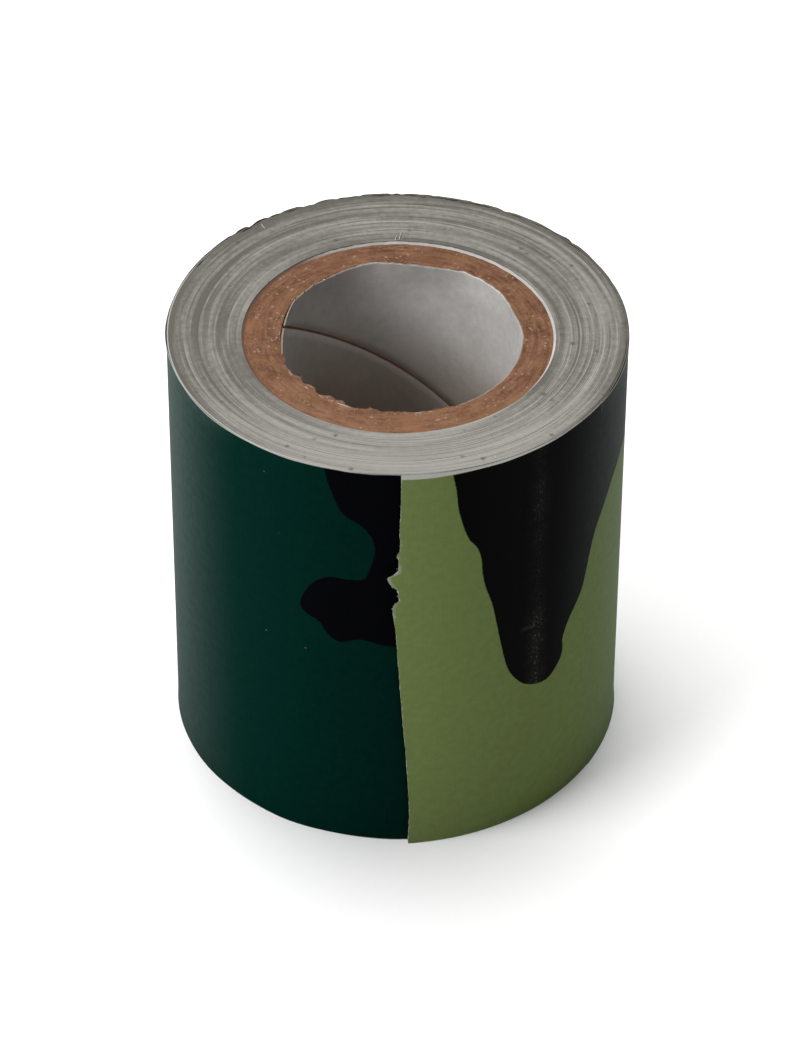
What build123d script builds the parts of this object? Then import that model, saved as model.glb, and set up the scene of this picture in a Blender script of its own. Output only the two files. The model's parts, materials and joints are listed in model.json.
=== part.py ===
"""Duct tape roll: printed cloth tape, 50 mm wide, wound on a one-inch paper core.

The roll stands on end. +Z runs up the bore, and the origin is on the bore's axis at the bottom face.
Seen from above, the strip starts on the core at the back, runs clockwise and outward for 39 and a half
turns, and ends in a torn free end at the front (-Y). Everything is in millimetres and degrees.
"""
from build123d import *
import os

# Driving dimensions
tape_width = 50.0
bore_radius = 12.7            # a one-inch core
liner_thickness = 0.3
ply_thickness = 0.5
ply_count = 6
cover_ply_thickness = 0.25
core_recess = 0.3             # the core is cut this much shorter than the tape is wide
seam_pitch = 60.0             # rise of the liner's butt seam in one turn
seam_gap = 0.25
seam_height_at_back = 36.0

film_thickness = 0.06
scrim_thickness = 0.04
adhesive_thickness = 0.05
first_gap = 0.02              # between the core and the first turn
whole_turns = 39              # full turns before the last half turn
tight_pitch = 0.170           # growth per turn on the tightly wound side
loose_pitch = 0.215           # growth per turn on the loosely wound side
loose_side_angle = 100.0      # direction of the loosely wound side, from +X
start_angle = 90.0            # where the strip begins on the core

tail_root_angle = -30.0       # where the loose tail leaves the roll
tail_segment_angle = 19.0
tail_segments = 3
tail_extra_radius = 1.35      # the tail is curved this much less tightly than the turn below it
tear_allowance = 6.0          # extra angle on the last segment, before its end is torn to shape

# The torn end, seen from the front: (x, z) from the top edge down to the bottom edge, with its small tab
torn_edge = [
    (0.35, 50.0), (0.2, 43.2), (0.3, 41.6), (-0.05, 40.1), (0.15, 39.6), (0.15, 37.9), (-1.05, 37.2), (-0.6, 36.1),
    (0.1, 35.6), (0.3, 34.0), (-0.2, 33.7), (-0.45, 32.8), (-0.1, 29.6), (0.5, 19.8), (1.4, 4.5), (1.3, 0.0),
]

# Worked out from the driving dimensions
core_height = tape_width - core_recess
core_outer_radius = bore_radius + liner_thickness + ply_count * ply_thickness + cover_ply_thickness
inner_face_radius = core_outer_radius + first_gap
turn_direction = loose_side_angle - 90.0      # turns the winding's own +Y to the loosely wound side
layers = {                                    # each layer's inner and outer face, from the strip's inner face
    "adhesive": (0.0, adhesive_thickness),
    "scrim": (adhesive_thickness, adhesive_thickness + scrim_thickness),
    "film": (
        adhesive_thickness + scrim_thickness,
        adhesive_thickness + scrim_thickness + film_thickness,
    ),
}


def save(shape, node):
    """Write one sub-part under its node name."""
    shape.label = node
    export_step(shape, os.path.join("parts", node + ".step"))


# Paper core
def tube(inner_radius, outer_radius, height):
    """A plain tube that stands on the origin."""
    ring = Circle(outer_radius) - Circle(inner_radius)
    return extrude(ring, height)


def liner_seam(height):
    """A helical slot right through the liner, where the edges of its paper strip meet without touching."""
    overshoot = 3.0
    radius = bore_radius + liner_thickness / 2
    path = Helix(seam_pitch, height + 2 * overshoot, radius)
    profile = Plane(path @ 0, x_dir=(1, 0, 0), z_dir=path % 0) * Rectangle(4 * liner_thickness, seam_gap)
    slot = sweep(profile, path=path, is_frenet=True)
    turns_below_back = (seam_height_at_back + overshoot) / seam_pitch
    return Pos(0, 0, -overshoot) * Rot(0, 0, 90 - 360 * turns_below_back) * slot


def make_core():
    """The core: a thin inner liner, equal kraft plies and a thin cover ply, one inside the next."""
    liner_outer = bore_radius + liner_thickness
    liner = tube(bore_radius, liner_outer, core_height) - liner_seam(core_height)
    save(liner, "core_inner_liner")
    radius = liner_outer
    for number in range(1, ply_count + 1):
        save(tube(radius, radius + ply_thickness, core_height), f"core_ply_{number}")
        radius += ply_thickness
    save(tube(radius, radius + cover_ply_thickness, core_height), "core_cover_ply")


# Winding: half-turn arcs whose ends lie on the line from the tight side (-Y) to the loose side (+Y)
def winding_arcs():
    """Each arc of the strip's inner face as (centre, radius, start, end), in order along the strip."""
    arcs = []
    first = start_angle - turn_direction
    for turn in range(whole_turns + 1):
        loose = inner_face_radius + turn * loose_pitch
        tight = inner_face_radius + (turn + 0.5) * tight_pitch
        next_loose = loose + loose_pitch
        arcs.append(((0, (loose - tight) / 2), (loose + tight) / 2, 90, -90))
        arcs.append(((0, (next_loose - tight) / 2), (next_loose + tight) / 2, -90, -270))
    arcs.pop()
    centre, radius, _, end = arcs[0]
    arcs[0] = (centre, radius, first, end)
    centre, radius, start, _ = arcs[-1]
    arcs[-1] = (centre, radius, start, tail_root_angle - turn_direction)
    return arcs


def tail_arc():
    """The tail's inner face as (centre, radius, start): it leaves the last turn smoothly and stands off it."""
    centre, radius, _, root = winding_arcs()[-1]
    shift = Vector(tail_extra_radius, 0).rotate(Axis.Z, root)
    return Vector(*centre) - shift, radius + tail_extra_radius, root


def strip_face(arcs, inner_offset, outer_offset):
    """The face between two offsets of a run of arcs, closed by a radial line at each end."""
    inner = [CenterArc(c, r + inner_offset, a, b - a) for c, r, a, b in arcs]
    outer = [CenterArc(c, r + outer_offset, a, b - a) for c, r, a, b in arcs]
    ends = [Line(inner[0] @ 0, outer[0] @ 0), Line(inner[-1] @ 1, outer[-1] @ 1)]
    return make_face(Wire(inner + outer + ends))


def strip_solid(arcs, layer):
    """One layer of the strip, as wide as the tape, turned to its real direction."""
    face = strip_face(arcs, *layers[layer])
    return Rot(0, 0, turn_direction) * extrude(face, tape_width)


def keep_inside_tear():
    """Everything on the tail's side of the torn edge, near the front of the roll."""
    reach = 2 * core_outer_radius
    outline = torn_edge + [(reach, 0), (reach, tape_width)]
    return extrude(Plane.XZ * make_face(Polyline(outline, close=True)), reach)


def make_winding():
    """The wound strip up to the tail's root, one continuous solid for each layer."""
    arcs = winding_arcs()
    for layer in layers:
        save(strip_solid(arcs, layer), f"tape_{layer}_wound")


def make_tail():
    """The tail: three stiff lengths of strip, each of the same three layers, with a torn end on the last."""
    centre, radius, root = tail_arc()
    centre = (centre.X, centre.Y)
    for number in range(1, tail_segments + 1):
        start = root - (number - 1) * tail_segment_angle
        end = start - tail_segment_angle
        is_last = number == tail_segments
        if is_last:
            end -= tear_allowance
        for layer in layers:
            solid = strip_solid([(centre, radius, start, end)], layer)
            if is_last:
                solid = solid & keep_inside_tear()
            save(solid, f"tail_{number}_{layer}")


def print_hinges():
    """Where each tail hinge stands: on the film's outer face, at the segment's root line."""
    centre, radius, root = tail_arc()
    for number in range(tail_segments):
        angle = root - number * tail_segment_angle
        point = centre + Vector(radius + layers["film"][1], 0).rotate(Axis.Z, angle)
        point = point.rotate(Axis.Z, turn_direction)
        print(f"hinge {number + 1}: x {point.X:.3f} y {point.Y:.3f}")


def print_strip_length():
    """The length of tape on the roll, along the strip's inner face."""
    wound = sum(CenterArc(c, r, a, b - a).length for c, r, a, b in winding_arcs())
    _, radius, _ = tail_arc()
    tail = CenterArc((0, 0), radius, 0, tail_segments * tail_segment_angle).length
    print(f"strip length: {(wound + tail) / 1000:.2f} m, of which the tail is {tail:.1f} mm")


os.makedirs("parts", exist_ok=True)
make_core()
make_winding()
make_tail()
print_hinges()
print_strip_length()
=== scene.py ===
# %% [markdown]
# # A roll of camouflage duct tape
# The real thing is a strip of cloth tape, 50 mm wide and 5 m long, wound on a paper core. The strip has three
# layers: a printed plastic film outside, a woven gauze under it, and adhesive inside. This lesson dresses a
# finished engineering model in those materials. The engineering model gives every size and every joint, so
# the first step is to load it and to keep its box, which the finished roll has to stay in.

# %% Load the engineering model
import json
import math
import random

import bmesh
import bpy
import numpy as np
from mathutils import Matrix, Vector, noise


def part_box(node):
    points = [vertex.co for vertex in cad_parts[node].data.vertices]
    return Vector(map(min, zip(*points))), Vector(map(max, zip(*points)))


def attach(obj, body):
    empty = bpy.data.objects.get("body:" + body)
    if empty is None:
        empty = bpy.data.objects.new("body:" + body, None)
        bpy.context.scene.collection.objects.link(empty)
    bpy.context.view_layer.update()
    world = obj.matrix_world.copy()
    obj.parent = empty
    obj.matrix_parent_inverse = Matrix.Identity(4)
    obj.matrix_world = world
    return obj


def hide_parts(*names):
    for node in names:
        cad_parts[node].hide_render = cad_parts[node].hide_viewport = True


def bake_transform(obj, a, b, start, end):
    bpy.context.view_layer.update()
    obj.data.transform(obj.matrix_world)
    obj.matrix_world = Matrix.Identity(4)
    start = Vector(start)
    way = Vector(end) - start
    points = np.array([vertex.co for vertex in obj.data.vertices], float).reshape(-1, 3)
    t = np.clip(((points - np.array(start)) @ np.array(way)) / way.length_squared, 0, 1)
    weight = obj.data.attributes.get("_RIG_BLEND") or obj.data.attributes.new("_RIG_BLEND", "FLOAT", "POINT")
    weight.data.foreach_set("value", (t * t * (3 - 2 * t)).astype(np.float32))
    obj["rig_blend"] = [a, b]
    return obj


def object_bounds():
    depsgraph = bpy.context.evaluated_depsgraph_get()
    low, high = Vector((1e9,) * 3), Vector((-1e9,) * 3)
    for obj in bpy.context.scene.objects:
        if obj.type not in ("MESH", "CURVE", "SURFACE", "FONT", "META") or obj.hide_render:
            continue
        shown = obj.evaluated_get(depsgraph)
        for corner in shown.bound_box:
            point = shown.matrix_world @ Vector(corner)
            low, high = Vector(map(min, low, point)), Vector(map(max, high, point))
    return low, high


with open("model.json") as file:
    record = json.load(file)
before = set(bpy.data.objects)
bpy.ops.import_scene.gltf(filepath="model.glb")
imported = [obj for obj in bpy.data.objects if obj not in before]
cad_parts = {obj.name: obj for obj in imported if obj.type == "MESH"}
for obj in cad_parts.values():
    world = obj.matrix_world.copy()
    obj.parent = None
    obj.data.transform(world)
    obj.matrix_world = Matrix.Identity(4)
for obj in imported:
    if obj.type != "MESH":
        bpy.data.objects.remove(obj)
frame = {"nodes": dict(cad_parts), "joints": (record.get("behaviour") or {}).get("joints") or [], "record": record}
cad_low, cad_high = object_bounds()
print("engineering model, mm:", [round(1000 * side, 1) for side in cad_high - cad_low])

# %% [markdown]
# ## Sizes
# Blender works in metres here, so a millimetre gets a name. Radii and heights come from the boxes of the
# engineering parts. The way the strip is wound is one more set of facts: how much each turn adds on the
# tight side and on the loose side, where the strip starts, and where its loose tail begins.

# %% Sizes
MM = 0.001
TAPE_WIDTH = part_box("tape_film_wound")[1].z
CORE_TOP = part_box("core_ply_1")[1].z
CORE_OUTER_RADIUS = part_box("core_cover_ply")[1].x
BORE_RADIUS = frame["record"]["mounts"][0]["dims"]["r_mm"] * MM

WALL_REACH = cad_high.x
WHOLE_TURNS = 39
TIGHT_PITCH = 0.170 * MM
LOOSE_PITCH = 0.215 * MM
LOOSE_SIDE = math.radians(100)
START_ANGLE = math.radians(90)
FIRST_GAP = 0.02 * MM
TAIL_ROOT = math.radians(-30)
TAIL_STEP = math.radians(19)
TAIL_COUNT = 3
TAIL_EXTRA_RADIUS = 1.35 * MM
ADHESIVE = 0.05 * MM
SCRIM = 0.04 * MM
FILM = 0.06 * MM
LAYERS = {
    "adhesive": (0.0, ADHESIVE),
    "scrim": (ADHESIVE, ADHESIVE + SCRIM),
    "film": (ADHESIVE + SCRIM, ADHESIVE + SCRIM + FILM),
}
TURN = LOOSE_SIDE - math.pi / 2  # turns the winding's own +Y to its loose side
print("width, core top, bore, mm:", [round(s / MM, 2) for s in (TAPE_WIDTH, CORE_TOP, BORE_RADIUS)])

# %% [markdown]
# ## Camera
# A long lens from about half a metre keeps the sides of the roll nearly parallel, as a catalogue view has
# them. The camera looks down by 40 degrees, so that the end of the winding and the wall are both seen. Its
# matrix is built from three directions: right, up and back.

# %% Camera
CAMERA_HEIGHT_ANGLE = math.radians(39.78)
CAMERA_DISTANCE = 0.501
CAMERA_ROLL = math.radians(0.32)
LENS = 162.56
SENSOR = 36.0
aim = Vector((0.24 * MM, 0, TAPE_WIDTH / 2))

back = Vector((0, -math.cos(CAMERA_HEIGHT_ANGLE), math.sin(CAMERA_HEIGHT_ANGLE)))
side = Vector((1, 0, 0))
rise = back.cross(side)
right = math.cos(CAMERA_ROLL) * side + math.sin(CAMERA_ROLL) * rise
up = back.cross(right)
lens_data = bpy.data.cameras.new("camera")
lens_data.lens = LENS
lens_data.sensor_width = SENSOR
lens_data.dof.use_dof = False
camera = bpy.data.objects.new("camera", lens_data)
camera.matrix_world = Matrix.Translation(aim + back * CAMERA_DISTANCE) @ Matrix(
    (right, up, back)
).transposed().to_4x4()
bpy.context.scene.collection.objects.link(camera)
bpy.context.scene.camera = camera
print("camera stands at, mm:", [round(c / MM) for c in camera.location])

# %% [markdown]
# ## Light and floor
# A printed roll is easiest to read in soft light. A dim sky fills the shadows a little. One broad lamp hangs
# overhead and a little behind, which lights the end of the winding and the floor but only grazes the walls. A
# second one from the left gives the roll its lit side and puts the near wall of the bore in shade. Small
# sharp lamps would draw hard glints on the film, so both are large.

# %% Light and floor
SKY_STRENGTH = 0.22
LAMPS = {  # name: (place, diameter, power in watts)
    "overhead_lamp": (Vector((-0.05, 0.28, 0.85)), 0.80, 9.5),
    "left_lamp": (Vector((-0.50, -0.24, 0.46)), 0.40, 3.8),
}

scene = bpy.context.scene
scene.view_settings.view_transform = "Standard"
sky = bpy.data.worlds.new("sky")
sky.use_nodes = True
sky.node_tree.nodes["Background"].inputs["Color"].default_value = (1.0, 1.0, 1.0, 1.0)
sky.node_tree.nodes["Background"].inputs["Strength"].default_value = SKY_STRENGTH
scene.world = sky


def hang_lamp(name, place, diameter, power):
    data = bpy.data.lights.new(name, "AREA")
    data.shape = "DISK"
    data.size = diameter
    data.energy = power
    lamp = bpy.data.objects.new(name, data)
    lamp.location = place
    lamp.rotation_euler = (Vector((0, 0, TAPE_WIDTH / 2)) - place).to_track_quat("-Z", "Y").to_euler()
    scene.collection.objects.link(lamp)
    print(f"{name}: {power} W, {diameter} m wide, {place.length:.2f} m away")


for name, facts in LAMPS.items():
    hang_lamp(name, *facts)

# %% [markdown]
# ## A helper for shader maths
# Material nodes can be wired by hand, but a long sum is far easier to read as a sum. `Value` wraps one output
# of a node and turns `+`, `-`, `*` and `/` into Math nodes. `Finish` is a material under construction, and
# its one method `make` adds any other node: its kind, then its settings, then what its sockets get.

# %% A helper for shader maths
class Value:
    """One output of a node, which can stand in a sum."""

    def __init__(self, finish, socket):
        self.finish = finish
        self.socket = socket

    def maths(self, operation, *others):
        inputs = dict(enumerate((self, *others)))
        return self.finish.make("Math", {"operation": operation}, inputs)

    def __add__(self, other):
        return self.maths("ADD", other)

    def __sub__(self, other):
        return self.maths("SUBTRACT", other)

    def __mul__(self, other):
        return self.maths("MULTIPLY", other)

    def __truediv__(self, other):
        return self.maths("DIVIDE", other)

    def __rsub__(self, other):
        return self.finish.make("Math", {"operation": "SUBTRACT"}, {0: other, 1: self})

    __radd__ = __add__
    __rmul__ = __mul__

    def ramp(self, low, high):
        """0 below low, 1 above high, and a smooth step in between."""
        limits = {0: self, 1: low, 2: high}
        return self.finish.make("MapRange", {"interpolation_type": "SMOOTHSTEP"}, limits)


class Finish:
    """A material under construction."""

    def __init__(self, name):
        self.material = bpy.data.materials.new(name)
        self.material.use_nodes = True
        self.nodes = self.material.node_tree.nodes
        self.links = self.material.node_tree.links
        self.nodes.clear()

    def make(self, kind, settings=None, inputs=None, output=0):
        node = self.nodes.new("ShaderNode" + kind)
        for name, value in (settings or {}).items():
            setattr(node, name, value)
        for name, value in (inputs or {}).items():
            if isinstance(value, Value):
                self.links.new(value.socket, node.inputs[name])
            else:
                node.inputs[name].default_value = value
        return Value(self, node.outputs[output]) if len(node.outputs) else node

    def place(self):
        """The point of the surface, in metres."""
        return self.make("TexCoord", output="Object")

    def attribute(self, name):
        """A number stored on the mesh's points."""
        return self.make("Attribute", {"attribute_name": name}, output="Fac")

    def parts(self, where):
        """The three parts of a point, each as a number."""
        sockets = self.make("SeparateXYZ", inputs={0: where}).socket.node.outputs
        return [Value(self, socket) for socket in sockets]

    def point(self, x, y, z):
        return self.make("CombineXYZ", inputs={0: x, 1: y, 2: z})

    def reach(self, x, y):
        """The distance from the roll's axis."""
        return self.make("VectorMath", {"operation": "LENGTH"}, {0: self.point(x, y, 0.0)}, output=1)

    def noise(self, where, scale, detail=2.0, roughness=0.5):
        inputs = {"Vector": where, "Scale": scale, "Detail": detail, "Roughness": roughness}
        return self.make("TexNoise", inputs=inputs)

    def specks(self, where, scale, size, patch_scale, patches):
        """1 in small scattered dots and 0 between them, but only inside some patches."""
        dots = self.make("TexVoronoi", inputs={"Vector": where, "Scale": scale})
        return (1.0 - dots.ramp(*size)) * self.noise(where, patch_scale, 1.0).ramp(*patches)

    def mix(self, share, first, second):
        """A colour between two colours."""
        first, second = (c if isinstance(c, Value) else (*c, 1.0) for c in (first, second))
        return self.make("Mix", {"data_type": "RGBA"}, {0: share, 6: first, 7: second}, output=2)

    def bump(self, height, distance, strength=1.0):
        return self.make("Bump", inputs={"Height": height, "Distance": distance, "Strength": strength})

    def done(self, tint, roughness, specular=0.5, **sockets):
        """The finished surface, which is one Principled shader."""
        inputs = {"Base Color": tint, "Roughness": roughness, "Specular IOR Level": specular, **sockets}
        surface = self.make("BsdfPrincipled", inputs=inputs)
        self.make("OutputMaterial", inputs={"Surface": surface})
        return self.material


# %% [markdown]
# The floor is a plain pale sheet of card. It is large enough to fill the view from every side.

# %% The floor
FLOOR_REACH = 3.0


def floor_finish():
    finish = Finish("pale_card")
    grain = finish.noise(finish.place(), 900.0, 3.0)
    tint = finish.mix(grain, (0.90, 0.90, 0.90), (0.93, 0.93, 0.93))
    return finish.done(tint, 0.95)


bm = bmesh.new()
bmesh.ops.create_grid(bm, x_segments=1, y_segments=1, size=FLOOR_REACH)
floor_mesh = bpy.data.meshes.new("floor")
bm.to_mesh(floor_mesh)
bm.free()
floor = bpy.data.objects.new("floor", floor_mesh)
floor_mesh.materials.append(floor_finish())
scene.collection.objects.link(floor)

# %% [markdown]
# ## How the strip is wound
# A spiral could be a formula, but a roll that is tighter on one side is simpler as half circles. Each half
# turn is an arc whose ends lie on the line from the tight side to the loose side. Because every arc meets
# that line squarely, the arcs join without a kink, and the centre of each arc drifts a little to the loose
# side as the roll grows. Blender's spin operator follows one arc at a time, so the same list of arcs drives
# every layer.

# %% How the strip is wound
def winding_arcs():
    """Each arc of the strip's inner face as (centre, radius, start, end), from the core outwards."""
    half = math.pi / 2
    first_radius = CORE_OUTER_RADIUS + FIRST_GAP
    arcs = []
    for turn in range(WHOLE_TURNS + 1):
        loose = first_radius + turn * LOOSE_PITCH
        tight = first_radius + (turn + 0.5) * TIGHT_PITCH
        after = loose + LOOSE_PITCH
        arcs.append((Vector((0, (loose - tight) / 2, 0)), (loose + tight) / 2, half, -half))
        arcs.append((Vector((0, (after - tight) / 2, 0)), (after + tight) / 2, -half, -3 * half))
    arcs.pop()
    centre, radius, _, end = arcs[0]
    arcs[0] = (centre, radius, START_ANGLE - TURN, end)
    centre, radius, start, _ = arcs[-1]
    arcs[-1] = (centre, radius, start, TAIL_ROOT - TURN)
    return arcs


def heading(angle):
    return Vector((math.cos(angle), math.sin(angle), 0))


def round_point(centre, radius, angle):
    return centre + Vector((radius * math.cos(angle), radius * math.sin(angle), 0))


def turned(point):
    """A point of the winding in its real direction."""
    return Matrix.Rotation(TURN, 3, "Z") @ point


def arc_length(arc):
    return arc[1] * abs(arc[3] - arc[2])


ARCS = winding_arcs()
OUTER_ARC_COUNT = 3  # the last turn and a third, whose printed face is seen
INNER_ARCS = ARCS[:-OUTER_ARC_COUNT]
OUTER_ARCS = ARCS[-OUTER_ARC_COUNT:]
root_centre, root_radius, _, root_angle = ARCS[-1]
tail_centre = round_point(root_centre, -TAIL_EXTRA_RADIUS, root_angle)
tail_radius = root_radius + TAIL_EXTRA_RADIUS
WOUND_LENGTH = sum(arc_length(arc) for arc in ARCS)
STRIP_LENGTH = WOUND_LENGTH + tail_radius * TAIL_STEP * TAIL_COUNT
print(f"strip length {STRIP_LENGTH:.3f} m in {len(ARCS)} arcs")

# %% [markdown]
# ## Winding a layer
# The profile of a layer is a narrow upright ring of edges. Spinning it along an arc gives a tube of quads.
# Each step of a spin looks at the whole mesh again, so a long strip is much faster to spin arc by arc in
# small meshes, which are then collected, merged where they touch and closed with a bridge at both ends. The
# spin adds its points in a fixed order, so the distance along the strip can be stored on every point straight
# away: later the print and the weave are laid out with it.

# %% Winding a layer
MERGE_DISTANCE = 0.002 * MM


def sweep(bm, points, centre, angle, steps, **options):
    """Join the points by edges, and spin them about an upright axis."""
    for first, second in zip(points, points[1:]):
        bm.edges.new((first, second))
    bmesh.ops.spin(
        bm, geom=bm.verts[:] + bm.edges[:], cent=centre, axis=(0, 0, 1), angle=angle, steps=steps, **options
    )


def spin_arc(arc, offsets, rows, steps_per_turn, length_before, turns_before):
    """One arc of a ribbon, open at both ends, as a mesh."""
    centre, radius, start, end = arc
    bm = bmesh.new()
    along = bm.verts.layers.float.new("along")
    turns = bm.verts.layers.float.new("turns")
    heights = [Vector((0, 0, TAPE_WIDTH * row / rows)) for row in range(rows + 1)]
    inner_foot, outer_foot = (round_point(centre, radius + offset, start) for offset in offsets)
    outer = [bm.verts.new(outer_foot + height) for height in heights]
    inner = [bm.verts.new(inner_foot + height) for height in heights]
    loop = outer + inner[::-1]
    count = len(loop)
    steps = max(1, round(abs(end - start) / math.tau * steps_per_turn))
    sweep(bm, loop + loop[:1], centre, end - start, steps)
    bm.verts.index_update()
    for vert in bm.verts:
        share = vert.index // count / steps
        vert[along] = length_before + share * arc_length(arc)
        vert[turns] = turns_before + share * abs(end - start) / math.tau
    for face in bm.faces:
        face.material_index = 0 if all(v.index % count <= rows for v in face.verts) else 1
        face.smooth = True
    mesh = bpy.data.meshes.new("arc")
    bm.to_mesh(mesh)
    bm.free()
    return mesh


def ribbon(arcs, offsets, rows, steps_per_turn, length_before=0.0, turns_before=0.0):
    """A closed ribbon along the arcs. Its points know their distance along the strip and their turn."""
    bm = bmesh.new()
    first_length = length_before
    for arc in arcs:
        mesh = spin_arc(arc, offsets, rows, steps_per_turn, length_before, turns_before)
        bm.from_mesh(mesh)
        bpy.data.meshes.remove(mesh)
        length_before += arc_length(arc)
        turns_before += abs(arc[3] - arc[2]) / math.tau
    bmesh.ops.remove_doubles(bm, verts=bm.verts, dist=MERGE_DISTANCE)
    along = bm.verts.layers.float["along"]
    for end in (first_length, length_before):
        columns = [
            edge for edge in bm.edges
            if edge.is_boundary
            and abs(edge.verts[0].co.z - edge.verts[1].co.z) > MERGE_DISTANCE
            and abs(edge.verts[0][along] - end) < MERGE_DISTANCE
        ]
        caps = bmesh.ops.bridge_loops(bm, edges=columns)
        for face in caps["faces"]:
            face.material_index = 2
    bmesh.ops.recalc_face_normals(bm, faces=bm.faces)
    return bm


def finish_piece(bm, name, materials, body, turn=True, sharp=math.radians(35)):
    """Turn the winding to its real direction, make the mesh an object and hand it to its body."""
    if turn:
        bmesh.ops.rotate(bm, cent=(0, 0, 0), matrix=Matrix.Rotation(TURN, 3, "Z"), verts=bm.verts)
    mesh = bpy.data.meshes.new(name)
    bm.to_mesh(mesh)
    bm.free()
    mesh.set_sharp_from_angle(angle=sharp)
    for material in materials:
        mesh.materials.append(material)
    piece = bpy.data.objects.new(name, mesh)
    scene.collection.objects.link(piece)
    if body:
        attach(piece, body)
    mesh.calc_loop_triangles()
    print(f"{name}: {len(mesh.loop_triangles)} triangles")
    return piece


# %% [markdown]
# ## The end of the winding
# A roll is slit from a wide log with a blade, so all its turns end nearly level. Nearly is what makes it look
# real: each turn stands a few hundredths of a millimetre higher or lower, and the blade has smeared some of
# the adhesive. The height of an edge comes from a noise that changes fast from turn to turn and slowly round
# the roll. The last turns were also knocked at the back, so a second, finer noise nicks their edges there.

# %% The end of the winding
TURN_UNEVENNESS = 0.022 * MM
BAND_UNEVENNESS = 0.06 * MM
NICKED_FROM = 37.0  # the last turns were knocked at the back, which nicked their edges
NICK_DEPTH = 0.55 * MM


def edge_drop(turns, direction, seed):
    """How far an edge stands below the full width, at a turn and in a direction round the roll."""
    around = 1.3 * direction
    fast = noise.noise(Vector((turns * 0.93 + seed, around.x, around.y)))
    slow = noise.noise(Vector((turns * 0.21 - seed, 2 * around.x, 2 * around.y)))
    drop = TURN_UNEVENNESS * (0.5 + fast) + BAND_UNEVENNESS * (0.5 + slow)
    if turns > NICKED_FROM and direction.y > 0:
        nick = noise.noise(Vector((23 * direction.x, 23 * direction.y, round(turns * 2) + seed)))
        drop += NICK_DEPTH * direction.y * max(0.0, nick)
    return drop


def roughen_edges(bm, extra=0.0, seed=3.7):
    """Lower the top edge and raise the bottom edge of a ribbon by a varying amount."""
    turns = bm.verts.layers.float["turns"]
    for vert in bm.verts:
        is_top = vert.co.z > TAPE_WIDTH - 1e-6
        is_bottom = vert.co.z < 1e-6
        if is_top or is_bottom:
            direction = Vector((vert.co.x, vert.co.y, 0)).normalized()
            drop = max(0.0, edge_drop(vert[turns], direction, seed if is_top else -seed) + extra)
            vert.co.z += -drop if is_top else drop


# %% [markdown]
# Seen from its end, the strip is a pale sandwich: the film's body is a light grey plastic, only its face is
# printed, the gauze is off-white and the adhesive is grey. The three share one recipe. Streaks follow the
# turns, because each pass of the tape picked up dust and adhesive in its own way, and small dark specks of
# dust stick to the edges of the adhesive. The end is painted lighter at the front, which is painted light,
# and it is darker at the outer rim towards the back and at the left. Rare dark lines along the turns are
# painted shade of the gaps between them, and at the left the outermost edge has a pale painted highlight.

# %% The cut edge of the layers
OUTERMOST = (WHOLE_TURNS - 0.8, WHOLE_TURNS - 0.55)  # at the left, only the outermost turn is past these


def lit_left_side(x, y):
    """1 at the left of the roll, where edges get a painted highlight, and 0 at the front and the back."""
    return (x / -WALL_REACH).ramp(0.05, 0.5) * (1.0 - (y / WALL_REACH).ramp(0.2, 0.7))


def cut_edge_finish(name, level, shine=0.75):
    finish = Finish(name)
    place = finish.place()
    x, y, _ = finish.parts(place)
    turns = finish.attribute("turns")
    bands = finish.noise(finish.point(turns * 0.20, x * 22.0, y * 22.0), 1.0, 3.0, 0.55)
    streaks = finish.noise(finish.point(turns * 0.62, x * 45.0, y * 45.0), 1.0, 3.0, 0.6)
    lines = finish.noise(finish.point(turns * 1.5, x * 90.0, y * 90.0), 1.0, 2.0, 0.6)
    blotches = finish.noise(place, 1300.0, 3.0, 0.65)
    outward = (turns / WHOLE_TURNS).ramp(0.20, 0.70)
    rim = (turns / WHOLE_TURNS).ramp(0.84, 1.0)
    to_front = (y / (-CORE_OUTER_RADIUS)).ramp(0.45, 1.35)
    to_left = (x / (-CORE_OUTER_RADIUS)).ramp(0.2, 1.3)
    # Painted light: the end is lighter towards the front (to_front). It is also darker at the outer rim towards
    # the back and at the left, and a little lighter outwards at the back.
    darker_at_back_and_left = rim * (1.0 - to_front) * 0.16 + to_left * 0.09 - outward * (1.0 - to_front) * 0.06
    mottle = bands * 0.55 + streaks * 0.62 + lines * 0.34 + blotches * 0.26 + to_front * 0.15 - darker_at_back_and_left - 0.295
    dark, light = ([level * part for part in tone] for tone in ((0.085, 0.078, 0.064), (0.270, 0.262, 0.238)))
    tint = finish.mix(mottle.ramp(0.42, 0.92), dark, light)
    # Painted light: the front of the end is drawn towards an even, lighter grey.
    tint = finish.mix(to_front * 0.55, tint, [level * part for part in (0.222, 0.216, 0.197)])
    # Painted shade: rare dark lines along the turns stand for the shaded gaps between them, fainter at the front.
    gap = finish.noise(finish.point(turns * 0.9, x * 35.0, y * 35.0), 1.0, 1.0)
    painted_gap_shade = gap.ramp(0.64, 0.70) * (1.0 - to_front * 0.7)
    tint = finish.mix(painted_gap_shade * 0.6, tint, (0.075, 0.068, 0.055))
    specks = finish.specks(place, 620.0, (0.06, 0.24), 260.0, (0.52, 0.60))
    tint = finish.mix(specks * 0.7, tint, (0.05, 0.047, 0.032))
    grit = finish.noise(place, 4200.0, 2.0, 0.7).ramp(0.58, 0.72) * (1.0 - to_front * 0.7)
    tint = finish.mix(grit * 0.40, tint, (0.075, 0.07, 0.055))
    # Painted highlight: at the left the outermost turn's cut edge is painted pale.
    painted_left_highlight = lit_left_side(x, y) * turns.ramp(*OUTERMOST)
    tint = finish.mix(painted_left_highlight * 0.6, tint, (0.42, 0.42, 0.40))
    relief = finish.bump(lines * 0.3 + blotches * 0.7, 0.05 * MM)
    return finish.done(tint, shine, 0.25, Normal=relief)


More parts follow.
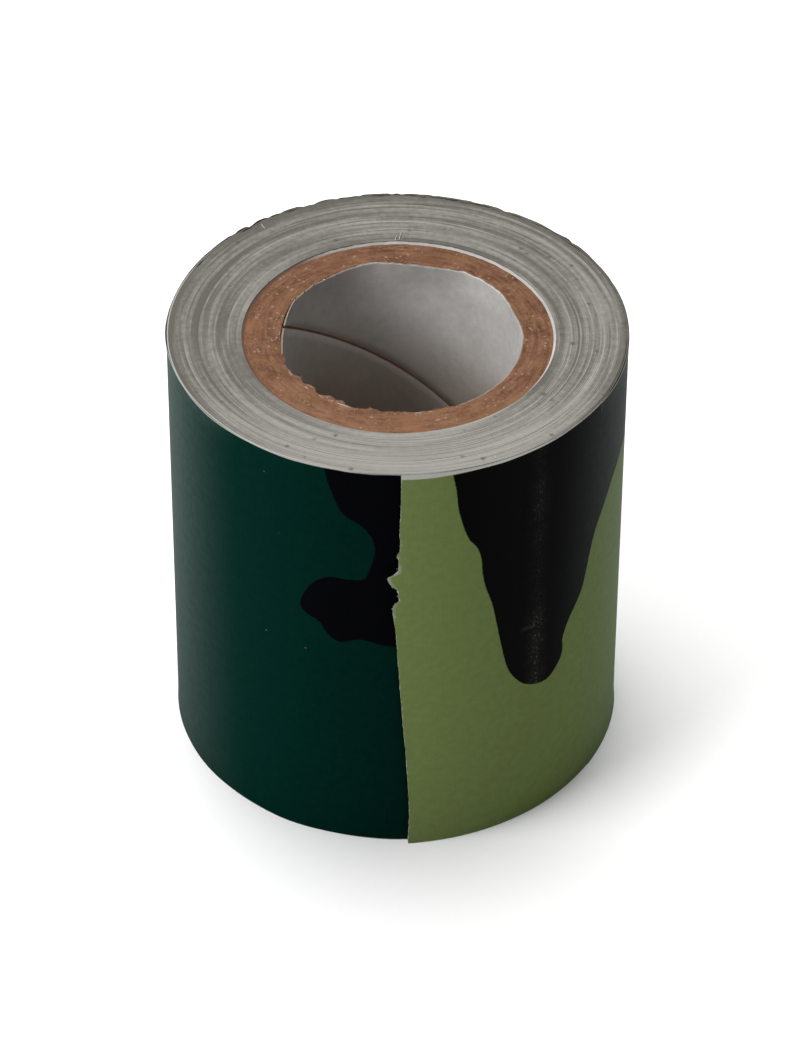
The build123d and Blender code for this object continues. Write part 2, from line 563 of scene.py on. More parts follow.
FILM_EDGE = cut_edge_finish("film_cut_edge", 1.0)
SCRIM_EDGE = cut_edge_finish("scrim_cut_edge", 1.06)
ADHESIVE_EDGE = cut_edge_finish("adhesive_cut_edge", 0.94, 0.65)
TORN_END = cut_edge_finish("torn_end", 0.55)

# %% [markdown]
# The inner 38 turns need only enough steps for a round edge. Film, gauze and adhesive are three separate
# ribbons, and each stands for its part of the engineering model together with the outer turns made later. The
# pull of the winding presses the soft adhesive into the last of the air between the turns, so its inner face
# is moved on to the turn below, or on to the core where there is no turn below.

# %% The inner turns
INNER_STEPS = 132
PRESSED_CLEARANCE = 0.004 * MM
ON_THE_CORE = 0.999  # for the first whole turn, the core lies below


def gap_to(arc, vert):
    """How far a point stands off the printed face of an arc."""
    return (vert.co - arc[0]).to_2d().length - arc[1] - LAYERS["film"][1]


def press_in(bm):
    """Move the inner face of the wound adhesive on to whatever lies below it."""
    turns = bm.verts.layers.float["turns"]
    skipped = (math.pi / 2 - START_ANGLE + TURN) / math.tau
    for vert in bm.verts:
        number = min(int((vert[turns] + skipped) * 2), len(ARCS) - 1)
        centre, radius = ARCS[number][:2]
        if (vert.co - centre).to_2d().length > radius + MERGE_DISTANCE:
            continue
        if vert[turns] < ON_THE_CORE:
            gap = vert.co.to_2d().length - CORE_OUTER_RADIUS
        else:
            gap = gap_to(ARCS[number - 2], vert)
        inward = (centre - vert.co).to_2d().normalized().to_3d()
        vert.co += inward * max(0.0, gap - PRESSED_CLEARANCE)


def wind_inner_turns():
    recipes = (
        ("film", FILM_EDGE, 0.0, "printed_film"),
        ("scrim", SCRIM_EDGE, 0.005 * MM, "scrim_gauze"),
        ("adhesive", ADHESIVE_EDGE, 0.01 * MM, "adhesive"),
    )
    for layer, material, recess, slot in recipes:
        arcs = INNER_ARCS if layer == "film" else ARCS
        bm = ribbon(arcs, LAYERS[layer], 1, INNER_STEPS)
        if layer == "adhesive":
            press_in(bm)
        roughen_edges(bm, recess)
        piece = finish_piece(bm, f"inner_{layer}_turns", [material] * 3, "roll")
        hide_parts(f"tape_{layer}_wound")


wind_inner_turns()

# %% [markdown]
# ## The print
# The camouflage is printed on the film before it is wound, so it is drawn on the flat strip: along the strip
# from its torn end, and up its width. A patch could be painted on an image, but a short outline of points is
# enough. The outline is rounded by a closed curve through its points, and each point of the mesh stores its
# distance to that curve: negative inside the patch and positive outside. The shader only has to ask where
# the distance is below nothing, which gives a sharp edge at any size.

# %% The print
ONE_TURN = 150.0  # where the turn below reaches the torn end, in millimetres

PATCH_BELOW_THE_SEAM = [  # counted from where the turn below reaches the torn end
    (-8.4, 57), (-7.8, 50), (-6.8, 46.4), (-5.8, 44.3), (-4.1, 43.2), (-2.9, 41.6), (-2.6, 39.6),
    (-3.2, 37.2), (-3.7, 36.1), (-5.2, 35.8), (-7.2, 35.8), (-8.8, 34.8), (-10, 33), (-10.5, 31), (-9.6, 30),
    (-8.4, 29.5), (-7.6, 28.1), (-6.2, 27.2), (-4, 27.9), (-0.7, 27.2), (5, 28), (9, 36), (8, 57),
]
BLACK_PATCHES = [
    [(4.9, 57), (5.4, 51), (5.9, 48), (6.2, 45.2), (6.8, 42.7), (7.4, 41), (8.2, 39.8), (8.7, 38.2),
     (8.9, 36), (9.3, 34), (10.1, 31.3), (11.1, 26), (11.9, 22.4), (12.9, 20.3), (14.6, 18.5), (17.2, 17.8),
     (18.9, 19.1), (19.5, 20.5), (19.5, 22.2), (20.4, 24.2), (22.4, 26.7), (23.1, 28.6), (23.9, 31.1),
     (24.9, 33.4), (26.7, 35.4), (28.8, 37.3), (32, 38.6), (37, 39), (41, 42), (44, 47), (45, 57)],
    [(ONE_TURN + x, y) for x, y in PATCH_BELOW_THE_SEAM],
    [(52, -6), (53, 5), (58, 10), (65, 11), (70, 16), (78, 17), (82, 11), (79, 4), (82, -6)],
    [(66, 57), (68, 46), (74, 39), (75, 32), (81, 27), (88, 29), (89, 37), (95, 43), (97, 57)],
]
DARK_PATCHES = [
    [(56, 57), (58, 47), (53, 40), (52, 31), (58, 25), (60, 16), (66, 12), (68, 4), (68, -6), (88, -6),
     (90, 3), (96, 8), (98, 17), (103, 21), (101, 9), (103, -6), (ONE_TURN + 40, -6), (ONE_TURN + 40, 57),
     (104, 57), (103, 47), (97, 41), (93, 33), (86, 36), (81, 44), (80, 57)],
]


def rounded(outline, pieces=8):
    """A closed curve through the outline's points."""
    points = [Vector((x, y, 0)) for x, y in outline]
    count = len(points)
    curve = []
    for i in range(count):
        a, b, c, d = (points[(i + k) % count] for k in (-1, 0, 1, 2))
        for step in range(pieces):
            t = step / pieces
            curve.append(
                0.5 * (2 * b + (c - a) * t + (2 * a - 5 * b + 4 * c - d) * t ** 2
                       + (3 * b - a - 3 * c + d) * t ** 3)
            )
    return np.array([(p.x, p.y) for p in curve])


def signed_distance(points, curve):
    """Distance of each point to a closed curve, negative inside it."""
    nearest = np.full(len(points), 1e9)
    inside = np.zeros(len(points), bool)
    for start, end in zip(curve, np.roll(curve, -1, axis=0)):
        run = end - start
        share = np.clip((points - start) @ run / (run @ run), 0, 1)
        nearest = np.minimum(nearest, np.linalg.norm(points - start - share[:, None] * run, axis=1))
        crosses = (start[1] > points[:, 1]) != (end[1] > points[:, 1])
        rise_to = np.where(abs(run[1]) > 1e-12, (points[:, 1] - start[1]) * run[0] / (run[1] or 1), 0)
        inside ^= crosses & (points[:, 0] < start[0] + rise_to)
    return np.where(inside, -nearest, nearest)


def print_patches(piece):
    """Store the print on a film piece: its distance to the nearest dark and black patches."""
    mesh = piece.data
    count = len(mesh.vertices)
    along = np.zeros(count, np.float32)
    mesh.attributes["along"].data.foreach_get("value", along)
    places = np.zeros(count * 3, np.float32)
    mesh.vertices.foreach_get("co", places)
    flat = np.column_stack(((STRIP_LENGTH - along) / MM, places.reshape(-1, 3)[:, 2] / MM))
    for name, patches in (("dark_patch", DARK_PATCHES), ("black_patch", BLACK_PATCHES)):
        distance = np.min([signed_distance(flat, rounded(patch)) for patch in patches], axis=0)
        layer = mesh.attributes.new(name, "FLOAT", "POINT")
        layer.data.foreach_set("value", distance.astype(np.float32))


# %% [markdown]
# ## The printed film
# Polyethylene film over gauze is a soft satin plastic. The threads show through as a fine square relief of
# about two threads per millimetre, and that relief breaks up the gloss. The ink is not perfectly even. The
# print is also painted lighter at the left and darker to the right, which is painted light, and the black
# is painted greyer to the right, a painted reflection. Seen at a low angle the whole film gets a pale painted
# sheen, which the Layer Weight node adds. Along one line a painted glint breaks into a row of tiny pale
# specks in the black.

# %% The printed film
LIGHT_GREEN = (0.121, 0.160, 0.0535)
DARK_GREEN = (0.0003, 0.0160, 0.0117)
BLACK = (0.0012, 0.0013, 0.0020)
BLACK_WITH_PAINTED_SHEEN = (0.0036, 0.0035, 0.0035)
GRAZING_SHEEN_TINT = (0.26, 0.33, 0.31)
BARE_FILM_AND_HIGHLIGHT = (0.36, 0.37, 0.34)
THREAD_PITCH = 0.52
GAUZE_PITCH = 1.04  # on the sticky side only every second thread shows through
# where the painted glint line runs, in millimetres along the strip
GLINT_LINE_PLACE = 15.6
SCUFF_MARK = (13.6, 26.5)  # a short rubbed mark across the line of the painted glint, along and up
RUBBED_EDGE = 0.16


def film_finish():
    finish = Finish("printed_film")
    x, y, height = finish.parts(finish.place())
    height = height / MM
    along = (STRIP_LENGTH - finish.attribute("along")) / MM
    flat = finish.point(along, height, 0.0)
    wander = finish.noise(flat, 0.35, 2.0) * 0.5
    warp = ((height + wander) * (math.tau / THREAD_PITCH)).maths("SINE")
    weft = ((along + wander) * (math.tau / THREAD_PITCH)).maths("SINE")
    coarse = finish.noise(flat, 0.9, 3.0, 0.6)
    fine = finish.noise(flat, 5.0, 2.0, 0.6)
    relief = warp * 0.07 + weft * 0.09 + fine * 0.35 + coarse * 0.35

    wobble = (finish.noise(flat, 3.0, 2.0) - 0.5) * 0.12
    dark = 1.0 - (finish.attribute("dark_patch") + wobble).ramp(-0.06, 0.06)
    black = 1.0 - (finish.attribute("black_patch") + wobble).ramp(-0.06, 0.06)
    ink = finish.noise(flat, 1.1, 4.0, 0.6).ramp(0.3, 0.7)
    # Painted light: the random ink tone is mixed with a gradient that is lighter at the left and darker to the
    # right.
    ink_and_side_light = ink * 0.4 + (1.0 - (x / WALL_REACH).ramp(0.0, 1.0)) * 0.6
    light_tint = finish.mix(ink_and_side_light, [c * 0.80 for c in LIGHT_GREEN], [c * 1.05 for c in LIGHT_GREEN])
    ink_and_side_light = ink * 0.3 + (1.0 - (x / WALL_REACH).ramp(-0.75, 0.0)) * 0.7
    dark_tint = finish.mix(ink_and_side_light, [c * 0.62 for c in DARK_GREEN], [c * 1.06 for c in DARK_GREEN])
    tint = finish.mix(dark, light_tint, dark_tint)
    # Painted reflection: the black is painted a little greyer towards the right.
    tint = finish.mix(black, tint, finish.mix((x / WALL_REACH).ramp(0.0, 0.6), BLACK, BLACK_WITH_PAINTED_SHEEN))
    # Painted reflection: at grazing angles the film is painted paler, a sheen from the bright surroundings, a
    # little more towards the top.
    grazing_angle = finish.make("LayerWeight", inputs={"Blend": 0.5}, output="Facing")
    painted_grazing_sheen = grazing_angle.ramp(0.45, 0.85) * (0.6 + height * 0.009)
    tint = finish.mix(painted_grazing_sheen * (0.11 + ink * 0.03), tint, GRAZING_SHEEN_TINT)

    # Painted highlight: a broken glint down one line in the black, drawn as tiny pale specks and a faint haze. The
    # short mark and the scattered pale specks are wear.
    from_line = (along - GLINT_LINE_PLACE + (coarse - 0.5) * 2.2).maths("ABSOLUTE")
    dots = finish.noise(finish.point(along * 1.2, height * 0.6, 5.0), 3.2, 4.0, 0.7)
    glint_breaks = finish.noise(finish.point(0.0, height, 9.0), 0.16, 2.0, 0.6).ramp(0.40, 0.62)
    glint_haze = (1.0 - from_line.ramp(0.1, 1.9)) * fine.ramp(0.35, 0.7) * (0.35 + glint_breaks) * 0.028
    glint_specks = (1.0 - from_line.ramp(0.1, 0.75)) * dots.ramp(0.53, 0.68) * (0.25 + glint_breaks) * 0.15
    mark_along = (along - SCUFF_MARK[0] - 0.9).maths("ABSOLUTE")
    mark_up = (height - SCUFF_MARK[1] + (along - SCUFF_MARK[0]) * 0.12).maths("ABSOLUTE")
    mark = (1.0 - mark_along.ramp(0.4, 1.2)) * (1.0 - mark_up.ramp(0.05, 0.45)) * fine.ramp(0.4, 0.6) * 0.05
    strays = finish.specks(flat, 0.33, (0.02, 0.045), 0.13, (0.48, 0.56))
    glint_and_wear = (glint_specks + glint_haze + mark) * black + strays * 0.16
    tint = finish.mix(glint_and_wear, tint, BARE_FILM_AND_HIGHLIGHT)

    from_edge = height.maths("MINIMUM", TAPE_WIDTH / MM - height)
    patchy = finish.noise(finish.point(along * 0.16, height.ramp(20.0, 30.0) * 9.0, 2.0), 1.0, 2.0)
    # Painted highlight: at the left the film's edges are painted pale. Elsewhere only the patchy worn edge is
    # pale, which is wear.
    painted_left_highlight = lit_left_side(x, y) * 0.9
    edge = (1.0 - (from_edge - patchy * RUBBED_EDGE + fine * 0.05).ramp(0.0, 0.08))
    edge = edge * patchy.ramp(0.42, 0.6).maths("MAXIMUM", painted_left_highlight)
    stress = finish.attribute("stress").ramp(0.2, 1.0)
    tint = finish.mix((edge * 0.8).maths("MAXIMUM", stress * 0.38), tint, BARE_FILM_AND_HIGHLIGHT)
    return finish.done(tint, 0.40 + fine * 0.12, 0.004, Normal=finish.bump(relief, 0.02 * MM))


PRINTED_FILM = film_finish()
OUTER_STEPS = 300
OUTER_ROWS = 96
EDGE_FLARE = 0.16 * MM
FLARE_DEPTH = 2.2 * MM


def flare_edges(bm):
    """Let the free edges of the outer turn stand out a little, here and there round the roll."""
    for vert in bm.verts:
        direction = Vector((vert.co.x, vert.co.y, 0)).normalized()
        depth = min(vert.co.z, TAPE_WIDTH - vert.co.z) / FLARE_DEPTH
        if depth < 1:
            share = max(0.0, 0.35 + noise.noise(Vector((3 * direction.x, 3 * direction.y, vert.co.z * 20))))
            vert.co += direction * EDGE_FLARE * share * (1 - depth) ** 2


def wind_outer_turn():
    before = sum(arc_length(arc) for arc in INNER_ARCS)
    turns = sum(abs(arc[3] - arc[2]) for arc in INNER_ARCS) / math.tau
    bm = ribbon(OUTER_ARCS, LAYERS["film"], OUTER_ROWS, OUTER_STEPS, before, turns)
    roughen_edges(bm)
    flare_edges(bm)
    piece = finish_piece(bm, "outer_film_turn", [PRINTED_FILM, FILM_EDGE, FILM_EDGE], "roll")
    print_patches(piece)


wind_outer_turn()

# %% [markdown]
# ## The loose tail
# The last 25 mm of the strip has come away from the roll. The engineering model bends it at three hinges, and
# the real tape would bend smoothly, so each layer is cut into three pieces in the middle of the stiff
# lengths, where nothing bends, and each piece is blended across one hinge. The blend begins at the hinge
# itself: a point before the hinge would turn the wrong way, into the roll.
#
# The end was torn by hand. Its outline is a short list of points up the width, with a small tab where the
# gauze held on, and a fine noise for the ragged film. Only the last piece is stretched to that outline, and
# the distance along the strip is stretched with it, so that the print stays where it was.

# %% The torn edge
TORN_EDGE = [
    (1.30, 0), (1.40, 4.5), (1.25, 8), (1.0, 12.5), (0.72, 16.3), (0.5, 19.8), (0.28, 23), (-0.1, 29.6),
    (-0.35, 31.8), (-0.48, 32.8), (-0.38, 33.4), (-0.12, 33.75), (0.24, 33.85), (0.30, 34.1), (0.12, 34.5),
    (0.12, 35.4), (-0.33, 35.85), (-0.63, 36.1), (-0.97, 36.8), (-1.07, 37.15), (-0.75, 37.35), (-0.35, 37.5),
    (0.1, 37.8), (0.15, 39.6), (-0.04, 39.95), (-0.04, 40.2), (0.22, 40.4), (0.3, 41.6), (0.2, 43.2),
    (0.32, 45), (0.36, 50),
]
TAB_LOW = 32.0
TAB_HIGH = 40.2
TAB_REACH = 1.3 * MM  # what is torn longer than this curls away from the roll
TAB_CURL = 0.25
RAGGED = 0.07
STRESS_DEPTH = 0.55 * MM
BEAD_DEPTH = 1.2 * MM
BEAD_CLEARANCE = 0.03 * MM
TAIL_BORDERS = (0.0, 0.5, 1.5, 3.0)  # where the three pieces meet, counted in stiff lengths
TAIL_STEPS = 300
TAIL_ROWS = (96, 96, 200)

nominal_end = turned(round_point(tail_centre, tail_radius, root_angle - TAIL_COUNT * TAIL_STEP))


def torn_length(height, seed):
    """How far the strip reaches at a height, in metres along the strip, with its ragged edge."""
    z = height / MM
    xs, zs = zip(*TORN_EDGE)
    x = float(np.interp(z, zs, xs))
    ragged = noise.noise(Vector((z * 1.9, seed, 0))) + 0.6 * noise.noise(Vector((z * 5.3, seed, 4)))
    return STRIP_LENGTH + nominal_end.x - (x + RAGGED * ragged) * MM


def tear(bm, start_length, seed, extra):
    """Stretch the last piece of a layer to the torn outline, and mark the stretched plastic beside it."""
    along = bm.verts.layers.float["along"]
    stress = bm.verts.layers.float.new("stress")
    for vert in bm.verts:
        torn = torn_length(vert.co.z, seed) + extra
        share = (vert[along] - start_length) / (STRIP_LENGTH - start_length)
        vert[along] = start_length + share * (torn - start_length)
        reach = (vert.co - tail_centre).to_2d().length
        angle = root_angle - (vert[along] - WOUND_LENGTH) / tail_radius
        beyond = max(0.0, vert[along] - STRIP_LENGTH - TAB_REACH)
        height = vert.co.z
        vert.co = round_point(tail_centre, reach + TAB_CURL * beyond, angle)
        vert.co.z = height
        near = max(0.0, 1 - (torn - vert[along]) / STRESS_DEPTH)
        patchy = 0.5 + noise.noise(Vector((height * 900, vert[along] * 900, 8)))
        in_tab = TAB_LOW * MM < height < TAB_HIGH * MM
        vert[stress] = near * patchy * (1.6 if in_tab else 0.5)


# %% [markdown]
# The tail's inner side shows when the end is lifted: tacky adhesive, with the gauze as a fine square grid in
# it. The adhesive is a little shinier than paper and has pulled spots from the turn it stuck to.

# %% The adhesive side and the gauze
def adhesive_finish():
    finish = Finish("tacky_adhesive")
    height = finish.parts(finish.place())[2] / MM
    along = finish.attribute("along") / MM
    warp = (height * (math.tau / GAUZE_PITCH)).maths("SINE")
    weft = (along * (math.tau / GAUZE_PITCH)).maths("SINE")
    grid = warp.maths("MAXIMUM", weft).ramp(0.35, 1.0)
    spots = finish.noise(finish.point(along, height, 0.0), 0.8, 4.0, 0.65)
    tint = finish.mix(grid * spots.ramp(0.2, 0.6), (0.225, 0.218, 0.186), (0.43, 0.425, 0.39))
    tint = finish.mix(spots.ramp(0.60, 0.75) * 0.4, tint, (0.22, 0.215, 0.185))
    relief = finish.bump(grid + spots * 0.5, 0.05 * MM)
    return finish.done(tint, 0.42 + spots * 0.2, 0.4, Normal=relief)


def gauze_finish():
    finish = Finish("gauze_thread")
    place = finish.place()
    tone = finish.noise(place, 2600.0, 3.0, 0.6)
    tint = finish.mix(tone, (0.46, 0.46, 0.42), (0.66, 0.66, 0.62))
    return finish.done(tint, 0.9, Normal=finish.bump(tone, 0.02 * MM))


TACKY_ADHESIVE = adhesive_finish()
ADHESIVE_BEAD = cut_edge_finish("adhesive_bead", 0.85, 0.6)
GAUZE_THREAD = gauze_finish()


def squeeze_out(bm):
    """Let a bead of adhesive along both edges of the tail fill the gap to the turn below."""
    for vert in bm.verts:
        depth = min(vert.co.z, TAPE_WIDTH - vert.co.z)
        reach = (vert.co - tail_centre).to_2d().length
        if depth > BEAD_DEPTH or reach > tail_radius + MERGE_DISTANCE:
            continue
        below = ARCS[-3] if math.atan2(vert.co.y, vert.co.x) > -math.pi / 2 else ARCS[-2]
        gap = gap_to(below, vert)
        inward = (tail_centre - vert.co).to_2d().normalized().to_3d()
        vert.co += inward * max(0.0, gap - BEAD_CLEARANCE) * (1 - depth / BEAD_DEPTH) ** 0.5


def make_tail_piece(layer, number, materials, extra):
    first, last = TAIL_BORDERS[number - 1], TAIL_BORDERS[number]
    start_length = WOUND_LENGTH + first * TAIL_STEP * tail_radius
    rows = TAIL_ROWS[number - 1] if layer == "film" else TAIL_ROWS[number - 1] // 2
    arc = (tail_centre, tail_radius, root_angle - first * TAIL_STEP, root_angle - last * TAIL_STEP)
    bm = ribbon([arc], LAYERS[layer], rows, TAIL_STEPS, start_length, WHOLE_TURNS + 0.4)
    if layer == "adhesive":
        for face in bm.faces:
            if face.material_index == 1 and abs(face.normal.z) < 0.5:
                face.material_index = 0
        squeeze_out(bm)
    roughen_edges(bm, extra)
    if number == TAIL_COUNT:
        tear(bm, start_length, 2.0, extra)
    name = f"tail_{layer}_{number}"
    piece = finish_piece(bm, name, materials, None)
    if layer == "film":
        print_patches(piece)
    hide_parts(f"tail_{number}_{layer}")
    start = Vector(frame["joints"][number - 1]["pos_m"])
    end = turned(round_point(tail_centre, tail_radius, root_angle - (number - 0.5) * TAIL_STEP))
    end.z = start.z
    before = "roll" if number == 1 else f"tail_{number - 1}"
    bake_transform(piece, before, f"tail_{number}", start=start, end=end)
    return piece


for number in range(1, TAIL_COUNT + 1):
    make_tail_piece("film", number, [PRINTED_FILM, FILM_EDGE, TORN_END], 0.0)
    make_tail_piece("scrim", number, [GAUZE_THREAD, SCRIM_EDGE, TORN_END], 0.02 * MM)
    make_tail_piece("adhesive", number, [TACKY_ADHESIVE, ADHESIVE_BEAD, TORN_END], 0.01 * MM)

# %% [markdown]
# ## Paper and kraft board
# The core is spiral-wound paper board: brown kraft plies between a thin grey-white liner and a thin white
# cover. Its cut ends show chopped fibres, some of them pale, in a warm brown ground. Each finish is built
# from two or three scales of noise, because paper is blotchy, fibrous and finely rough all at once. The
# liner is painted browner and darker deep in the bore and towards its left side, which is painted shade,
# and the cover is brown but for its outer edge.

# %% Paper and kraft board
def kraft_finish():
    finish = Finish("kraft_board")
    place = finish.place()
    x, y, _ = finish.parts(place)
    radius = finish.reach(x, y)
    blotches = finish.noise(place, 420.0, 3.0, 0.6)
    layered = finish.noise(finish.point(x * 380.0, y * 380.0, radius * 2600.0), 1.0, 4.0, 0.7)
    fibres = finish.noise(place, 2600.0, 4.0, 0.75)
    to_front = (y / (-CORE_OUTER_RADIUS)).ramp(0.0, 1.0)
    ground = blotches * 0.30 + layered * 0.45 + fibres * 0.30 + to_front * 0.05 - 0.01
    tint = finish.mix(ground.ramp(0.36, 0.68), (0.062, 0.026, 0.0125), (0.190, 0.094, 0.052))
    hue = finish.noise(place, 260.0, 2.0)
    tint = finish.mix(hue.ramp(0.45, 0.7) * 0.5, tint, (0.16, 0.072, 0.036))
    pale = finish.specks(place, 1900.0, (0.15, 0.35), 700.0, (0.52, 0.62))
    tint = finish.mix(pale * 0.55, tint, (0.30, 0.22, 0.17))
    relief = finish.bump(fibres * 0.7 + layered * 0.7 + blotches * 0.3, 0.10 * MM)
    return finish.done(tint, 0.93, 0.2, Normal=relief)


def paper_finish(name, dark, light, kind="plain"):
    finish = Finish(name)
    place = finish.place()
    clouds = finish.noise(place, 120.0, 3.0, 0.55)
    fibres = finish.noise(place, 1100.0, 4.0, 0.7)
    tint = finish.mix((clouds * 0.5 + fibres * 0.5).ramp(0.2, 0.8), dark, light)
    specks = finish.specks(place, 300.0, (0.04, 0.09), 170.0, (0.60, 0.66))
    tint = finish.mix(specks * 0.7, tint, (0.12, 0.10, 0.08))
    x, y, z = finish.parts(place)
    if kind == "cover":
        outmost = ((finish.reach(x, y) - CORE_OUTER_RADIUS) / MM + clouds * 0.2).ramp(-0.22, -0.10)
        clean = ((x + y) / CORE_OUTER_RADIUS + clouds * 0.3).ramp(0.15, 0.75) * outmost
        tint = finish.mix(clean, (0.125, 0.075, 0.05), tint)
    if kind == "liner":
        depth = (CORE_TOP - z) / MM
        # Painted shade: the liner is painted browner and darker deeper in the bore and towards its left side.
        shade = depth.ramp(4.0, 19.0) * 0.62 + (x / -BORE_RADIUS).ramp(-0.1, 0.9) * 0.28
        tint = finish.mix(shade, tint, (0.225, 0.168, 0.122))
        torn = (x / -BORE_RADIUS).ramp(0.86, 0.97) * (1.0 - (depth + clouds * 1.6).ramp(1.6, 3.0))
        tint = finish.mix(torn * 0.9, tint, (0.14, 0.085, 0.052))
    relief = finish.bump(fibres * 0.6 + clouds * 0.2, 0.05 * MM)
    return finish.done(tint, 0.85, 0.25, Normal=relief)


KRAFT = kraft_finish()
LINER_PAPER = paper_finish("liner_paper", (0.38, 0.368, 0.356), (0.545, 0.532, 0.52), "liner")
LINER_EDGE = paper_finish("liner_cut_edge", (0.13, 0.085, 0.055), (0.30, 0.25, 0.20))
SEAM_BOARD = paper_finish("board_under_the_seam", (0.20, 0.095, 0.05), (0.34, 0.17, 0.095))
COVER_PAPER = paper_finish("cover_paper", (0.27, 0.265, 0.25), (0.45, 0.44, 0.42), "cover")

# %% [markdown]
# ## The plies of the core
# A ply is a ring with a closed profile: spinning the profile a full turn with `use_merge` joins the last step
# to the first. The saw that cut the core left its rim slightly out of round and its inner edge frayed, so
# the rim's points move: everything near a cut end wobbles in and out a little, and the first ply's inner
# corner is pushed in over the liner in the places where the paper tore. The white cover is the other way
# round: the tight tape holds its edge up, which shows as a fine white line round the core.

# %% The plies of the core
CORE_STEPS = 288
RIM_DEPTH = 2.6 * MM
RIM_SHAPE = [  # the sawn rim has corners: (degrees round the bore, millimetres out)
    (-180, -0.1), (-150, -0.1), (-100, 0), (-62, 0.12), (-19, 0.12), (-8, 0.06), (2, 0.14), (18, -0.12),
    (34, 0.3), (58, 0.4), (72, -0.3), (84, -0.3), (101, 0.35), (112, 0.15), (122, -0.25), (145, -0.3),
    (180, -0.1),
]
RIM_WOBBLE = 0.10 * MM
SAW_REACH = 2.2 * MM  # how far from the bore the board follows the rim
ON_THE_CUT = 0.01 * MM
SAWN_BOARD = 0.05 * MM
SAWN_PAPER = 0.12 * MM
LINER_THICKNESS = 0.16 * MM
COVER_RISE = 0.2 * MM  # the tape holds the cover's cut edge up, nearly level with itself
CUT_DEPTH = 0.2 * MM  # the points of the sawn end are all within this
BURR = 0.75 * MM
BURR_MIDDLE = math.radians(-118)
BURR_WIDTH = math.radians(62)
LIFT = 0.75 * MM  # at one place the liner has come away, and took some board with it
LIFT_MIDDLE = math.radians(176)
LIFT_WIDTH = math.radians(24)
LIFTED_BOARD = 0.72


def angle_apart(angle, middle):
    return abs((angle - middle + math.pi) % math.tau - math.pi)


def rim_wobble(angle, is_top):
    """How far the rim of the bore is out of round, in a direction, with the saw's flat spots."""
    seed = 1.0 if is_top else 9.0
    around = Vector((1.7 * math.cos(angle), 1.7 * math.sin(angle), seed))
    degrees, shape = zip(*RIM_SHAPE)
    corner = float(np.interp(math.degrees(angle if is_top else -angle), degrees, shape)) * MM
    return corner + RIM_WOBBLE * (noise.noise(around) + 0.5 * noise.noise(3 * around))


def burr(angle, is_top):
    """How far the torn inner edge of the first ply reaches over the liner."""
    seed = 5.0 if is_top else 15.0
    here = max(0.0, 1 - (angle_apart(angle, BURR_MIDDLE) / BURR_WIDTH) ** 2)
    ragged = 0.55 + noise.noise(Vector((9 * math.cos(angle), 9 * math.sin(angle), seed)))
    finer = 0.35 * noise.noise(Vector((30 * math.cos(angle), 30 * math.sin(angle), seed)))
    return BURR * here * max(0.0, ragged + finer)


def lift(angle, fade):
    """How far the liner has come away from the board beside the cut end, at one place."""
    lifted = max(0.0, 1 - (angle_apart(angle, LIFT_MIDDLE) / LIFT_WIDTH) ** 2)
    return LIFT * lifted * fade * fade


def rim_points(bm):
    """Each point near a cut end: (point, at the top, on the cut, angle, way out, fade with depth)."""
    for vert in bm.verts:
        depth = min(vert.co.z, CORE_TOP - vert.co.z)
        if depth <= RIM_DEPTH:
            angle = math.atan2(vert.co.y, vert.co.x)
            is_top = vert.co.z > CORE_TOP / 2
            yield vert, is_top, depth < ON_THE_CUT, angle, heading(angle), 1 - depth / RIM_DEPTH


def ring(inner_radius, outer_radius, top_columns):
    """A ring with a closed profile, which has extra points near its ends and across its cut faces."""
    bm = bmesh.new()
    heights = [0.0, 0.4 * MM, RIM_DEPTH, CORE_TOP - RIM_DEPTH, CORE_TOP - 0.4 * MM, CORE_TOP]
    across = [inner_radius + (outer_radius - inner_radius) * i / top_columns for i in range(top_columns + 1)]
    profile = [(inner_radius, z) for z in heights]
    profile += [(r, CORE_TOP) for r in across[1:-1]]
    profile += [(outer_radius, z) for z in reversed(heights)]
    profile += [(r, 0.0) for r in reversed(across[1:-1])]
    points = [bm.verts.new((r, 0, z)) for r, z in profile]
    sweep(bm, points + points[:1], (0, 0, 0), math.tau, CORE_STEPS, use_merge=True)
    bmesh.ops.remove_doubles(bm, verts=bm.verts, dist=1e-7)
    bmesh.ops.recalc_face_normals(bm, faces=bm.faces)
    for face in bm.faces:
        face.smooth = True
    return bm


def fray_ply(bm, inner_radius, is_first):
    """Roughen the two cut faces, and push the first ply's torn corner in over the liner."""
    for vert, is_top, on_cut, angle, outward, fade in rim_points(bm):
        radius = vert.co.to_2d().length
        beside_liner = is_first and radius < inner_radius + MERGE_DISTANCE / 2
        share = max(0.0, 1 - (radius - BORE_RADIUS) / SAW_REACH)
        vert.co += outward * rim_wobble(angle, is_top) * fade * share
        if beside_liner and is_top:
            vert.co -= outward * lift(angle, fade) * LIFTED_BOARD
        if on_cut:
            rough = noise.noise(vert.co * 2600) + 0.7 * noise.noise(vert.co * 900)
            inward = SAWN_BOARD * max(0.1, 0.6 + rough)
            vert.co.z += -inward if is_top else inward
            if beside_liner:
                vert.co -= outward * burr(angle, is_top)


